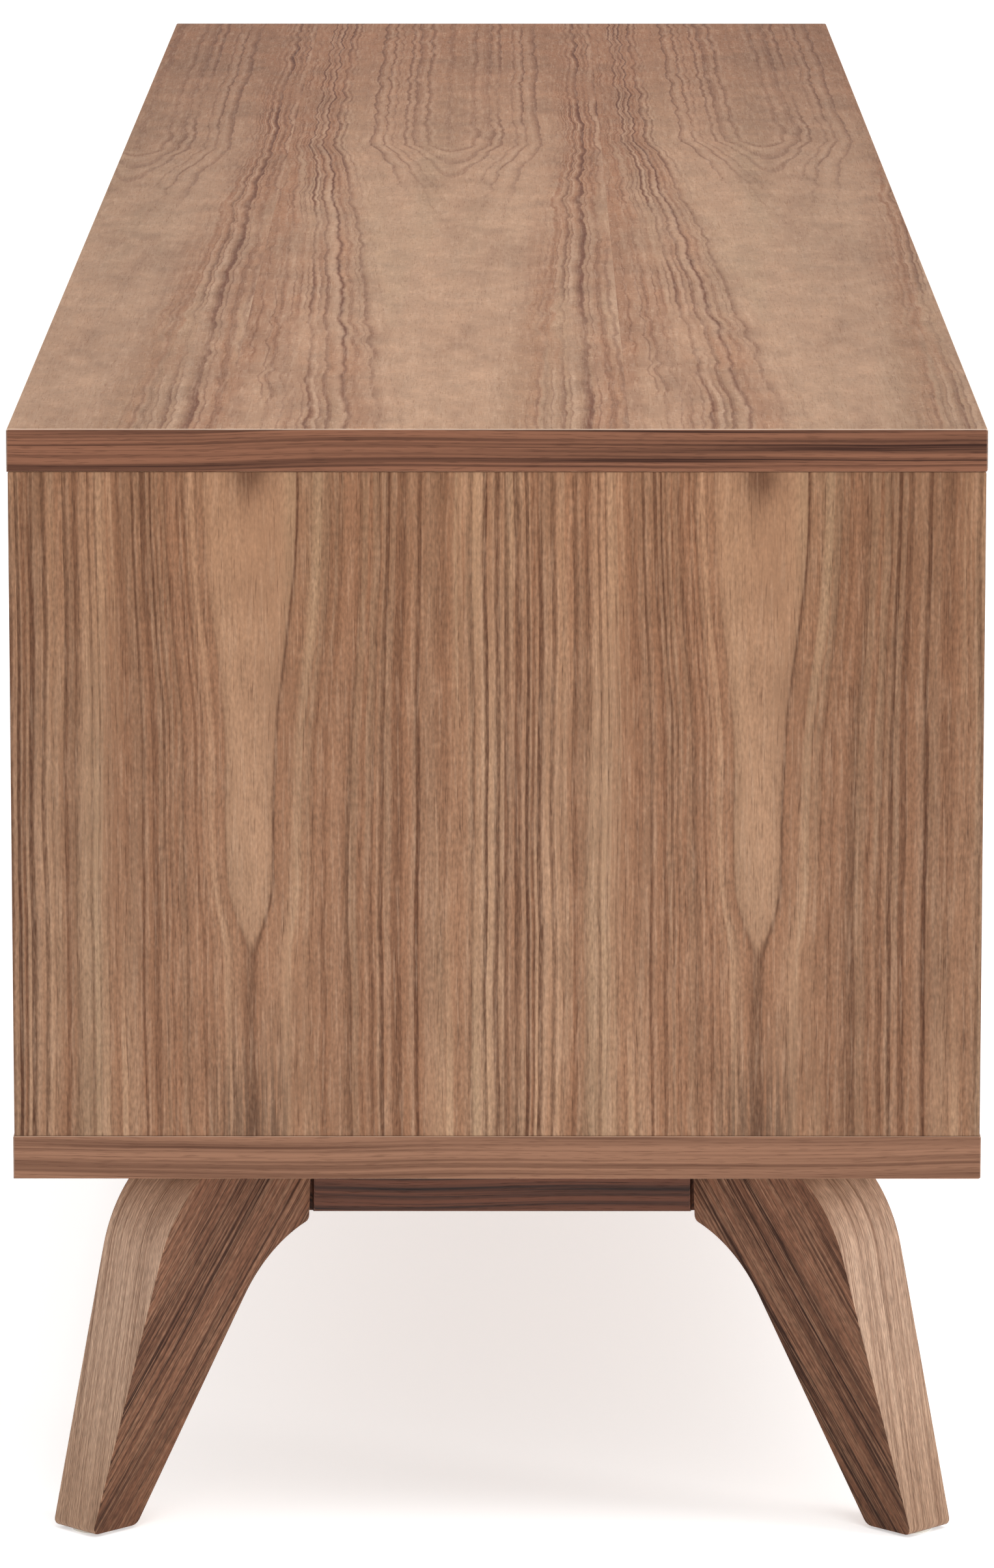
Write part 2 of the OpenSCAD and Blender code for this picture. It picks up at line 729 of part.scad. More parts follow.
module drawer_front() color("#a07a5e") difference() {
    block([-div_in + front_gap, front_y, drawer_front_low], [div_in - front_gap, door_back_y, drawer_front_high]);
    finger_slot(0, drawer_pull_z, 90);
    drawer_holes();
}

module drawer_inner_front() color("tan") difference() {
    block([-drawer_half + drawer_wall, door_back_y, drawer_low],
        [drawer_half - drawer_wall, door_back_y + drawer_wall, drawer_high]);
    drawer_bottom_slot();
    drawer_holes();
}

module drawer_side(side) color("tan") difference() {
    on_side(side) block([drawer_half - drawer_wall, door_back_y, drawer_low],
        [drawer_half, drawer_rear, drawer_high]);
    drawer_bottom_slot();
    drawer_holes();
}

module drawer_right_side() drawer_side(1);
module drawer_left_side() drawer_side(-1);

module drawer_back() color("tan") difference() {
    block([-drawer_half + drawer_wall, drawer_rear - drawer_wall, drawer_low],
        [drawer_half - drawer_wall, drawer_rear, drawer_high]);
    drawer_bottom_slot();
    drawer_holes();
}

module drawer_bottom() color("wheat") {
    reach = drawer_half - drawer_wall + drawer_groove - play;
    block([-reach, door_back_y + drawer_wall - drawer_groove + play, drawer_floor],
        [reach, drawer_rear - drawer_wall + drawer_groove - play, drawer_floor + drawer_floor_t]);
}

module drawer_screws() color("silver") {
    for (place = front_screws) {
        y_rod([place.x, door_back_y + drawer_wall, place.y], screw_head_r, screw_head_t);
        y_rod([place.x, door_back_y + drawer_wall, place.y], screw_r, -drawer_wall - screw_in);
    }
    both_sides() for (y = wall_screw_ys, z = wall_screw_zs)
        x_rod([drawer_half, y, z], screw_r, -drawer_wall - wall_screw_in + 1);
    both_sides() for (y = slide_screw_ys) {
        x_rod([drawer_half + sheet, y, slide_z], screw_head_r, 1);
        x_rod([drawer_half + sheet, y, slide_z], screw_r, -sheet - 8);
    }
}

// A channel of thin steel with its web at web_x and its lips reaching lip_x
module channel(web_x, lip_x, half, rear) {
    inner_web = web_x + sheet * sign(lip_x - web_x);
    block([min(web_x, inner_web), slide_front, slide_z - half],
        [max(web_x, inner_web), rear, slide_z + half]);
    for (end = [-1, 1]) {
        z = slide_z + end * (half - sheet / 2);
        block([min(web_x, lip_x), slide_front, z - sheet / 2], [max(web_x, lip_x), rear, z + sheet / 2]);
    }
}

module slide_holes(x) {
    for (y = slide_screw_ys) x_rod([x - cut, y, slide_z], screw_r, sheet + 2 * cut);
}

module outer_slide(side) color("silver") on_side(side) difference() {
    channel(div_in, drawer_half + channel_gap + 0.5, outer_half, slide_rear);
    slide_holes(div_in - sheet);
}

module right_outer_slide() outer_slide(1);
module left_outer_slide() outer_slide(-1);

module middle_slide(side) color("lightgray") on_side(side)
    channel(div_in - middle_web, drawer_half + channel_gap, middle_half, slide_rear - 8);

module right_middle_slide() middle_slide(1);
module left_middle_slide() middle_slide(-1);

module inner_slide(side) color("gainsboro") on_side(side) difference() {
    channel(drawer_half, div_in - middle_web - sheet - 0.8, inner_half, slide_rear - 4);
    slide_holes(drawer_half);
}

module right_inner_slide() inner_slide(1);
module left_inner_slide() inner_slide(-1);

module slide_screws() color("dimgray") both_sides() for (y = slide_screw_ys) {
    x_rod([div_in - sheet, y, slide_z], screw_head_r, -1);
    x_rod([div_in - sheet, y, slide_z], screw_r, sheet + 9);
}

top_board();
bottom_board();
right_end_panel();
left_end_panel();
right_divider();
left_divider();
back_panel();
fixed_shelf();
right_loose_shelf();
left_loose_shelf();
shelf_pins();
wood_dowels();
cam_locks();
cam_bolts();
cable_grommets();
back_screws();
front_right_leg();
front_left_leg();
rear_right_leg();
rear_left_leg();
right_end_rail();
left_end_rail();
front_rail();
rear_rail();
cross_rail();
corner_brackets();
leg_bolts();
leg_bolt_nuts();
bracket_screws();
frame_screws();
foot_glides();
pivot_bushes();
pivot_washers();
catch_housings();
catch_magnets();
catch_screws();
right_outer_slide();
left_outer_slide();
slide_screws();
right_middle_slide();
left_middle_slide();
right_door();
right_pivot_pins();
right_strike_plate();
right_strike_screws();
left_door();
left_pivot_pins();
left_strike_plate();
left_strike_screws();
drawer_front();
drawer_inner_front();
drawer_right_side();
drawer_left_side();
drawer_back();
drawer_bottom();
right_inner_slide();
left_inner_slide();
drawer_screws();
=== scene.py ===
"""Looks of the media cabinet: walnut veneer, solid walnut legs, fittings, and a plain studio.

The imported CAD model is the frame. Every board, leg and fitting keeps its CAD mesh and gets softened
edges and a procedural material. Right is +X, the front is -Y, and the floor is z = 0, in metres.
"""

import math
from dataclasses import dataclass, replace
from types import SimpleNamespace

import bpy
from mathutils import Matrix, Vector


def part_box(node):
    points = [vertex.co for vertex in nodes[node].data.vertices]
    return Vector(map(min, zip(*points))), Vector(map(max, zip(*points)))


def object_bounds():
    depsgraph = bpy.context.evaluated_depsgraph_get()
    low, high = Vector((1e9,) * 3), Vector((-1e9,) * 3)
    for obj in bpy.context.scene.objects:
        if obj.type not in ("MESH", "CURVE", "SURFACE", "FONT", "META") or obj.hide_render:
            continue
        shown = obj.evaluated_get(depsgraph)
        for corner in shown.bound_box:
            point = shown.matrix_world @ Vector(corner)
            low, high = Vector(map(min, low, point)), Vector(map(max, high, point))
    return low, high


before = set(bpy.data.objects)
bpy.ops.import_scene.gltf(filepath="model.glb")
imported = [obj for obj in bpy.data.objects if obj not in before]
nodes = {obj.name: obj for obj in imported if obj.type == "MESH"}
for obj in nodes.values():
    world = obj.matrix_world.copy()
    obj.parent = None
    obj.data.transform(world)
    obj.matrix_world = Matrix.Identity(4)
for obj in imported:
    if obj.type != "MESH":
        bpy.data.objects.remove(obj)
cad_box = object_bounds()

low, high = cad_box
HALF_LENGTH = (high.x - low.x) / 2
HALF_DEPTH = (high.y - low.y) / 2
PANEL_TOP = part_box("right_end_panel")[1].z
# The legs stand a little nearer the rear than the boards do, by this much.
LEG_SHIFT = (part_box("front_right_leg")[0].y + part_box("rear_right_leg")[1].y) / 2
MM = 0.001
X, Y, Z = 0, 1, 2

# ---- numbers and colours that vary over a surface


class Value:
    """A number that varies over a surface. Arithmetic with it adds math nodes to the material."""

    def __init__(self, surface, socket):
        self.surface, self.socket = surface, socket

    def math(self, operation, *others):
        return self.surface.math(operation, self, *others)

    def __add__(self, other):
        return self.math("ADD", other)

    def __radd__(self, other):
        return self.math("ADD", other)

    def __sub__(self, other):
        return self.math("SUBTRACT", other)

    def __rsub__(self, other):
        return self.surface.math("SUBTRACT", other, self)

    def __mul__(self, other):
        return self.math("MULTIPLY", other)

    def __rmul__(self, other):
        return self.math("MULTIPLY", other)

    def __truediv__(self, other):
        return self.math("DIVIDE", other)

    def __rtruediv__(self, other):
        return self.surface.math("DIVIDE", other, self)

    def __abs__(self):
        return self.math("ABSOLUTE")

    def root(self):
        return self.math("SQRT")

    def floor(self):
        return self.math("FLOOR")

    def part(self):
        """What is left above the whole number."""
        return self.math("FRACT")

    def sign(self):
        return self.math("SIGN")

    def power(self, exponent):
        return self.math("POWER", exponent)

    def clip(self):
        """Held between 0 and 1."""
        return self.surface.ranged(self, 0.0, 1.0, smooth=False)

    def above(self, start, end):
        """0 below start and 1 above end, with a smooth step between."""
        return self.surface.ranged(self, start, end)

    def below(self, start, end):
        """1 below start and 0 above end, with a smooth step between."""
        return self.surface.ranged(self, start, end, 1.0, 0.0)

    def to(self, first, last):
        """Turns 0 to 1 into first to last."""
        return self * (last - first) + first

    def bell(self, width):
        """1 at 0, falling off on both sides to a third at width."""
        return (self * self / (-(width ** 2))).math("EXPONENT")


class Surface:
    """A material, with short names for the nodes that make its colour, gloss and relief."""

    def __init__(self, name, **sockets):
        self.material = bpy.data.materials.new(name)
        self.material.use_nodes = True
        self.tree = self.material.node_tree
        self.shader = self.tree.nodes["Principled BSDF"]
        for socket, value in sockets.items():
            self.shader.inputs[socket.replace("_", " ")].default_value = value
        place = self.tree.nodes.new("ShaderNodeTexCoord")
        self.x, self.y, self.z = self.split(place.outputs["Object"])
        self.facing = self.split(place.outputs["Normal"])

    def feed(self, value, socket):
        if isinstance(value, Value):
            value = value.socket
        if isinstance(value, bpy.types.NodeSocket):
            self.tree.links.new(value, socket)
        else:
            socket.default_value = value

    def node(self, kind, *values, **settings):
        """The first output of a new node. values go to its sockets in order."""
        made = self.tree.nodes.new("ShaderNode" + kind)
        for key, value in settings.items():
            setattr(made, key, value)
        for value, socket in zip(values, [s for s in made.inputs if s.enabled]):
            self.feed(value, socket)
        return made.outputs[0]

    def math(self, operation, *values):
        return Value(self, self.node("Math", *values, operation=operation))

    def split(self, vector):
        made = self.tree.nodes.new("ShaderNodeSeparateXYZ")
        self.feed(vector, made.inputs[0])
        return [Value(self, socket) for socket in made.outputs]

    def point(self, x=0.0, y=0.0, z=0.0):
        return self.node("CombineXYZ", x, y, z)

    def ranged(self, value, from_low, from_high, to_low=0.0, to_high=1.0, smooth=True):
        made = self.tree.nodes.new("ShaderNodeMapRange")
        made.interpolation_type = "SMOOTHSTEP" if smooth else "LINEAR"
        for socket, v in zip(made.inputs, (value, from_low, from_high, to_low, to_high)):
            self.feed(v, socket)
        return Value(self, made.outputs[0])

    def noise(self, x=0.0, y=0.0, z=0.0, detail=2.0, rough=0.5):
        """Smooth noise from 0 to 1 with a mean of a half. Its features are about 1 across."""
        made = self.tree.nodes.new("ShaderNodeTexNoise")
        self.feed(self.point(x, y, z), made.inputs["Vector"])
        made.inputs["Scale"].default_value = 1.0
        made.inputs["Detail"].default_value = detail
        made.inputs["Roughness"].default_value = rough
        return Value(self, made.outputs[0])

    def wobble(self, *place, detail=2.0, rough=0.5):
        """Smooth noise from about -1 to 1."""
        return (self.noise(*place, detail=detail, rough=rough) - 0.5) * 2.0

    def random(self, x, y):
        """A different number from 0 to 1 for each x and y."""
        return Value(self, self.node("TexWhiteNoise", self.point(x, y, 0.5), noise_dimensions="3D"))

    def mix(self, amount, first, second, blend="MIX"):
        """Colour that goes from first to second as amount goes from 0 to 1."""
        made = self.tree.nodes.new("ShaderNodeMix")
        made.data_type, made.blend_type = "RGBA", blend
        # This node keeps its colours in inputs 6 and 7 and in output 2.
        for place, value in ((0, amount), (6, first), (7, second)):
            self.feed(value, made.inputs[place])
        return made.outputs[2]

    def dim(self, colour, tone, place, losses):
        """Colour times tone, less the losses of red, green and blue where place is 1."""
        tint = [tone * (1.0 - place * loss) for loss in losses]
        return self.mix(1.0, colour, self.point(*tint), "MULTIPLY")

    def finish(self, colour, roughness, relief=None, depth=0.0):
        """Connects the shader. relief is a height from 0 to 1 that stands for depth metres."""
        self.feed(colour, self.shader.inputs["Base Color"])
        self.feed(roughness, self.shader.inputs["Roughness"])
        if relief is not None:
            bump = self.tree.nodes.new("ShaderNodeBump")
            bump.inputs["Strength"].default_value = 1.0
            bump.inputs["Distance"].default_value = depth
            self.feed(relief, bump.inputs["Height"])
            self.tree.links.new(bump.outputs[0], self.shader.inputs["Normal"])
        return self.material


def rgb(red, green, blue):
    """A shader colour from the 0 to 255 values of a colour chart."""
    def linear(c):
        c /= 255
        return c / 12.92 if c <= 0.04045 else ((c + 0.055) / 1.055) ** 2.4
    return (linear(red), linear(green), linear(blue), 1.0)


# ---- wood
#
# A noise is given lengths in metres times a number, which is how many of its features fit in a metre.

# Light lost at the sides of a board, and red, green and blue lost at its head, and at a leg's foot as painted
# shade.
SIDE_LOSS = 0.13
HEAD_LOSSES = (0.05, 0.12, 0.18)
FOOT_SHADE_LOSSES = (0.37, 0.42, 0.47)


@dataclass(frozen=True)
class Figure:
    """What one kind of veneer looks like. Sizes are metres, and strengths go from 0 to about 1.
    Lengths count along the grain. A ring's level is its distance from the heart where nothing bends it."""

    # Leaves and rings
    level: object        # top_level or panel_level: how the rings run
    leaf: float          # width of a leaf
    start: float         # where across the board one leaf begins
    slip: float          # how far each leaf is slipped along the one before
    seed: float          # which log the leaves come from
    sway: float          # size of the slow bends of the rings
    waver: float         # size of the quick bends
    waves: float         # number of quick bends in a metre
    pitch: float         # mean width of a ring
    skew: float          # how much wider the rings are to the right of the heart
    uneven: float        # how unequal the rings are

    # Lines of late wood
    heart: float         # level up to which a leaf is plain
    rim: float           # level from which its lines are full
    calm: tuple          # strength of the lines in the plain part, left and right of the board's middle
    quiet: tuple         # distances from the heart over which the lines gain strength
    hush: float          # their strength at the heart itself
    late: tuple          # parts of a ring at which its line begins and is full
    faint: float         # strength of the faintest line
    thin: float          # strength of the thin line between two others
    ring_at: float       # level of the one bold line
    bold: float          # its half width
    bold_side: tuple     # its strength left and right of the heart
    dashed: float        # how far the lines are broken up

    # Colours, from the ground up
    warm: tuple
    cool: tuple
    shade: tuple
    red: tuple
    stain: tuple
    light: tuple
    dark: tuple

    # Strength of each colour
    banding: float       # dark bands in the width of a ring
    bands: float         # shade in those bands
    ramp: float          # shade towards each line
    core: float          # shade in the plain part
    still: float         # how far grain and pores fade in the plain part
    ruddy: float         # red between the lines
    stripes: float       # red in stripes along the rings
    # The red towards the left end is partly the veneer's tint and partly painted shade.
    far_tint_and_shade: float           # red towards the left end
    cloud: float         # shade in clouds
    stained: float       # stain in hairs at a leaf's joint and below its heart
    # The light ahead of each line is a painted highlight, as if the line stood in relief.
    lit: float           # light ahead of each line
    speck: float         # light in specks
    fleck: float         # light in flecks along the grain
    contrast: float      # dark in the lines
    pore: float          # dark in the pores
    knot: float          # dark at the knot
    knot_at: float       # place of the knot along the grain
    grit: float          # fine unevenness of tone
    mottle: float        # coarse unevenness of tone
    rough: float         # least roughness
    border: tuple        # distances from the board's middle over which its sides darken
    head: tuple          # lengths over which its head turns darker and warmer


def pores(s, along, across, seed=0.0):
    """Short open pores, and longer flecks: both are long in the grain's direction."""
    fine = s.noise(along * 90.0, across * 1900.0, seed, detail=1.0)
    coarse = s.noise(along * 35.0, across * 700.0, seed + 7.0, detail=1.0)
    return fine.above(0.55, 0.72), coarse


def top_level(s, length, inside, bends):
    """Place across the leaf, ring level and ring spread of the top.

    The rings run along the grain at a leaf's sides, fan out towards the right end, and close in long
    loops over the heart, left of the middle.
    """
    loops_end, drift, roundness, half_leaf, most_spread = -0.19, 7.5 * MM, 9.0 * MM, 83 * MM, 1.375
    fan = s.ranged(length, loops_end, HALF_LENGTH, smooth=False).power(0.7)
    centred = inside - fan * drift + bends
    arch = (centred * centred + roundness ** 2).root()
    spread = fan * most_spread + 1.0
    return centred, half_leaf - (half_leaf - arch) / spread, spread


def panel_level(s, length, inside, bends):
    """The same for the end panels and fronts, where the heart has the outline of a goblet."""
    roundness, stem_width, cup_width, stem_push, cup_push = 3 * MM, 20 * MM, 42 * MM, 9 * MM, 17 * MM
    centred = inside + bends
    arch = (centred * centred + roundness ** 2).root()
    # The rings are pushed aside by the stem, and higher up by the cup as well.
    stem = length.above(0.25, 0.285) * stem_push * centred.bell(stem_width)
    cup = length.above(0.325, 0.45) * cup_push * centred.bell(cup_width)
    return centred, arch - stem - cup, 1.0


def growth_rings(s, length, inside, seed, look):
    """The rings of a leaf: the lines of their late wood, and what the colours follow."""
    sway = s.wobble(length * 5.0, inside * 7.0, seed + 5.0, detail=1.0) * look.sway
    waver = s.wobble(length * look.waves, inside * 30.0, seed + 3.0, detail=2.0) * look.waver
    centred, level, spread = look.level(s, length, inside, sway + waver)
    right = centred.above(-15 * MM, 15 * MM)
    rings = level / (look.pitch * right.to(1.0 - look.skew, 1.0 + look.skew))
    rings = rings + s.wobble(rings * 0.27, seed + 2.0, detail=1.0) * look.uneven
    rings = rings + s.wobble(rings * 1.1, seed) * 0.4
    part = rings.part()

    # How strongly each line shows.
    side = level.above(look.heart, look.rim)
    calm = length.above(-0.15, 0.15).to(*look.calm)
    patch = s.noise(length * 4.0, inside * 40.0, seed + 31.0, detail=2.0).above(0.3, 0.6)
    strength = s.random(rings.floor(), look.seed).to(look.faint, 1.0) * patch.to(0.35, 1.0)
    strength = strength * (side * (1.0 - calm) + calm)
    strength = strength * abs(centred).above(*look.quiet).to(look.hush, 1.0)

    # The lines: one in each ring, a thin one between two of them, and a single bold one.
    start, end = look.late
    late = part.above(end - (end - start) / spread, end) * part.below(0.9, 1.0)
    twin = (rings * 2.0 + 0.4).part()
    thin = twin.above(end - 0.5 * (end - start), end) * twin.below(0.9, 1.0) * side * patch
    bold = (level - look.ring_at).bell(look.bold) * right.to(*look.bold_side)
    line = (late * strength).math("MAXIMUM", bold * patch.to(0.6, 1.0))
    line = line.math("MAXIMUM", thin * look.thin)
    dashes = s.noise(length * 210.0, inside * 1100.0, seed + 61.0, detail=1.0).above(0.36, 0.56)
    line = line * dashes.to(1.0 - look.dashed, 1.0)

    return SimpleNamespace(
        centred=centred, side=side, late=late, line=line,
        ramp=part * part * strength,
        lit=part.above(0.1, 0.4) * part.below(0.45, 0.6) * strength,
        band=s.noise(rings * look.banding, length * 1.5, seed + 51.0, detail=1.0).above(0.38, 0.6),
        stripe=s.noise(rings * 0.85, length * 2.5, seed + 57.0, detail=2.0).above(0.42, 0.62))


def veneer(s, along, across, look):
    """Colour, roughness and height of a veneered face.

    The leaves lie side by side, each the next slice of one log, slipped a little.
    """
    number = ((across - look.start) / look.leaf).floor()
    inside = across - look.start - (number + 0.5) * look.leaf
    length = along + number * look.slip
    seed = number * 0.07 + look.seed
    wood = growth_rings(s, length, inside, seed, look)
    centred, side, line = wood.centred, wood.side, wood.line

    broad = s.noise(length * 0.9, inside * 34.0, seed + 17.0, detail=2.0)
    cloud = s.noise(length * 8.0, inside * 26.0, seed + 23.0, detail=3.0, rough=0.6)
    mottle = s.noise(length * 34.0, inside * 75.0, seed + 71.0, detail=3.0, rough=0.65)
    grit = s.noise(length * 400.0, inside * 950.0, seed + 41.0, detail=1.0)
    speck = s.noise(length * 240.0, inside * 480.0, seed + 91.0, detail=1.0).above(0.6, 0.72)
    hairs = s.noise(length * 20.0, inside * 640.0, seed + 81.0, detail=2.0).above(0.36, 0.6)
    pore, fleck = pores(s, length, inside, seed)
    busy = 1.0 - (1.0 - side) * look.still

    # Ground colour, with its bands, stripes, clouds and stains.
    colour = s.mix(broad.above(0.36, 0.62), look.cool, look.warm)
    gloom = wood.band * side.to(0.35, 1.0) * look.bands + wood.ramp * look.ramp
    gloom = gloom * busy + (1.0 - side) * look.core
    colour = s.mix(gloom.clip(), colour, look.shade)
    # Redder and darker, with stronger lines, towards the left end: partly the veneer's tint, partly painted
    # shade.
    far_tint_and_shade = length.below(-0.95, 0.35) * look.far_tint_and_shade
    red = side * look.ruddy + wood.stripe * side * look.stripes + far_tint_and_shade
    colour = s.mix(red.clip(), colour, look.red)
    colour = s.mix(cloud.above(0.45, 0.68) * look.cloud * grit.above(0.3, 0.6), colour, look.shade)
    joint = centred.below(-0.104, -0.08) + centred.above(0.092, 0.104)
    foot = length.below(0.175, 0.25) * abs(centred).below(8 * MM, 24 * MM)
    colour = s.mix(((joint * 0.35 + foot) * hairs * look.stained).clip(), colour, look.stain)

    # Light and dark marks.
    # Painted highlight ahead of each line; the specks are the wood's own.
    colour = s.mix((wood.lit * look.lit + speck * look.speck).clip(), colour, look.light)
    colour = s.mix((line * (far_tint_and_shade * 0.5 + look.contrast)).clip(), colour, look.dark)
    knot = centred.bell(9 * MM) * (length - look.knot_at).bell(11 * MM) * look.knot
    colour = s.mix(knot, colour, look.dark)
    colour = s.mix(fleck.above(0.5, 0.72) * look.fleck, colour, look.light)
    colour = s.mix(pore * (wood.late * 0.7 + 0.3) * busy * look.pore, colour, look.dark)

    # Tone, which also falls at the sides, and turns warmer at the head.
    tone = (grit - 0.5) * busy * (2.0 * look.grit) + (mottle - 0.5) * (2.0 * look.mottle) + 1.0
    tone = tone * (1.0 - abs(across).above(*look.border) * SIDE_LOSS)
    colour = s.dim(colour, tone, length.above(*look.head), HEAD_LOSSES)

    rough = (line * 0.05 + pore * 0.12 + cloud * 0.08 + look.rough).clip()
    height = 0.8 - pore * 0.5 - line * 0.25 + grit * 0.1
    return colour, rough, height


def streaks(s, along, across, seed, light, dark, scale=1.0, amount=1.0):
    """Straight-grained wood: an edge band, or a rail. scale makes the grain finer, amount stronger."""
    bend = s.wobble(along * 7.0, across * 8.0, seed, detail=1.0) * (3.0 * MM)
    line = across + bend
    fine = s.noise(along * 5.0, line * 1400.0 * scale, seed + 1.0, detail=2.0)
    wide = s.noise(along * 2.0, line * 260.0 * scale, seed + 2.0, detail=2.0, rough=0.6)
    slow = s.noise(along * 2.6, line * 60.0, seed + 9.0, detail=1.0)
    pore, fleck = pores(s, along, line, seed + 4.0)
    thin = s.noise(along * 3.0, line * 620.0 * scale, seed + 3.0, detail=2.0, rough=0.6)
    mark = fine.above(0.5, 0.72) * 0.15 + thin.above(0.48, 0.64) * 0.5 + wide.above(0.43, 0.64) * 0.85
    mark = mark * slow.to(0.3, 1.7) * amount
    colour = s.mix(mark.clip(), light, dark)
    colour = s.mix(pore * 0.35, colour, dark)
    rough = (0.5 + fleck * 0.08 + pore * 0.1).clip()
    return SimpleNamespace(colour=colour, rough=rough, height=0.8 - pore * 0.5 - mark * 0.2)


# The top: few lines, full at the leaves' sides, and loops over the heart.
TOP_FIGURE = Figure(
    level=top_level, leaf=0.166, start=-0.112, slip=0.02, seed=3.4,
    sway=3 * MM, waver=4 * MM, waves=24.0, pitch=4.6 * MM, skew=0.1, uneven=1.6,
    heart=0.054, rim=0.067, calm=(0.6, 0.1), quiet=(0.0, 0.001), hush=1.0,
    late=(0.45, 0.85), faint=0.05, thin=0.5, ring_at=0.0655, bold=0.5 * MM, bold_side=(1.0, 0.3), dashed=0.15,
    warm=rgb(169, 133, 106), cool=rgb(161, 130, 103), shade=rgb(132, 97, 74), red=rgb(146, 100, 71),
    stain=rgb(112, 82, 62), light=rgb(192, 159, 133), dark=rgb(98, 56, 37),
    banding=0.6, bands=0.4, ramp=0.2, core=0.0, still=0.0, ruddy=0.25, stripes=0.5, far_tint_and_shade=1.0, cloud=0.6,
    stained=0.0, lit=0.35, speck=0.25, fleck=0.2, contrast=0.95, pore=0.25, knot=0.0, knot_at=0.0,
    grit=0.2, mottle=0.3, rough=0.55, border=(0.09, 0.17), head=(2.0, 3.0))

# The end panels: straight lines all over, but for a plain goblet over each heart, and a knot above it.
PANEL_FIGURE = Figure(
    level=panel_level, leaf=0.2085, start=-0.2055, slip=0.002, seed=8.1,
    sway=2.5 * MM, waver=2 * MM, waves=12.0, pitch=5.4 * MM, skew=0.22, uneven=2.6,
    heart=0.0015, rim=0.004, calm=(0.06, 0.06), quiet=(0.03, 0.06), hush=0.45,
    late=(0.3, 0.8), faint=0.2, thin=0.0, ring_at=0.0032, bold=0.8 * MM, bold_side=(0.15, 1.0), dashed=0.35,
    warm=rgb(170, 133, 105), cool=rgb(162, 133, 106), shade=rgb(116, 83, 62), red=rgb(139, 99, 74),
    stain=rgb(98, 74, 58), light=rgb(182, 149, 123), dark=rgb(78, 47, 32),
    banding=0.5, bands=0.7, ramp=0.6, core=0.2, still=0.25, ruddy=0.05, stripes=0.75, far_tint_and_shade=0.0, cloud=0.25,
    stained=0.8, lit=0.3, speck=0.1, fleck=0.25, contrast=0.9, pore=0.55, knot=0.75, knot_at=PANEL_TOP,
    grit=0.42, mottle=0.2, rough=0.55, border=(0.09, 0.2), head=(0.28, 0.46))
FRONT_FIGURE = replace(PANEL_FIGURE, seed=14.3, knot=0.3, stained=0.5, border=(2.0, 3.0))

# Edge bands: light colour, dark colour, and how strongly the dark one shows.
TOP_EDGE = (rgb(130, 87, 66), rgb(54, 30, 22), 0.9)
BASE_EDGE = (rgb(143, 104, 82), rgb(84, 54, 40), 0.65)

# Arrises: colour of those that look up, how strongly it shows, and how strongly the glue line of the
# edge band shows on the others. The pale colour is a painted highlight, and the dark glue line is partly
# painted shade in the joints and under the arrises.
GLUE_LINE_AND_SHADE = rgb(88, 58, 42)
TOP_ARRIS = (rgb(248, 226, 206), 1.0, 0.8)
BOARD_ARRIS = (rgb(248, 226, 206), 0.25, 0.7)
PANEL_ARRIS = (GLUE_LINE_AND_SHADE, 0.9, 0.9)
FRONT_ARRIS = (GLUE_LINE_AND_SHADE, 0.1, 0.1)


def arris_light_and_shade(s, colour, facing, painted_arris, amount):
    """Mixes a colour into the arrises, where the facing is on no single axis, in patches: a pale colour is a
    painted highlight, a dark one painted shade.
    """
    flat = abs(facing[X]).math("MAXIMUM", abs(facing[Y])).math("MAXIMUM", abs(facing[Z]))
    arris = flat.below(0.9, 0.995)
    patches = s.noise(s.x * 60.0, s.y * 60.0, s.z * 60.0, detail=3.0).to(0.4, 1.0)
    return s.mix(arris * patches * amount, colour, painted_arris), arris


def board(name, look, face, grain, edge, arris, shift=0.0):
    """A veneered board. face is the axis its two big sides look along, grain that of their grain, and
    shift moves the leaves sideways."""
    s = Surface(name, Specular_IOR_Level=0.12)
    axes = [s.x, s.y, s.z]
    across = X + Y + Z - face - grain
    colour, rough, height = veneer(s, axes[grain], axes[across] + shift, look)
    # Edges: the band on a side that looks along `across` runs with the grain, the other one crosses it.
    turned = abs(s.facing[grain]).above(0.6, 0.8)
    run = axes[grain] + (axes[across] - axes[grain]) * turned
    light, dark, amount = edge
    band = streaks(s, run, axes[face], 2.0 + shift * 3, light, dark, amount=amount)
    on_face = abs(s.facing[face]).above(0.6, 0.8)
    colour = s.mix(on_face, band.colour, colour)
    rough = rough * on_face + band.rough * (1.0 - on_face)
    height = height * on_face + band.height * (1.0 - on_face)
    # Up-facing arrises get the arris colour (a painted highlight on the boards); the others get the glue
    # line, partly painted shade.
    up = s.facing[Z].above(-0.1, 0.15)
    upper_colour, upper, other = arris
    colour, painted_arris = arris_light_and_shade(s, colour, s.facing, s.mix(up, GLUE_LINE_AND_SHADE, upper_colour), up.to(other, upper))
    return s.finish(colour, rough - painted_arris * 0.08, height, 0.12 * MM)


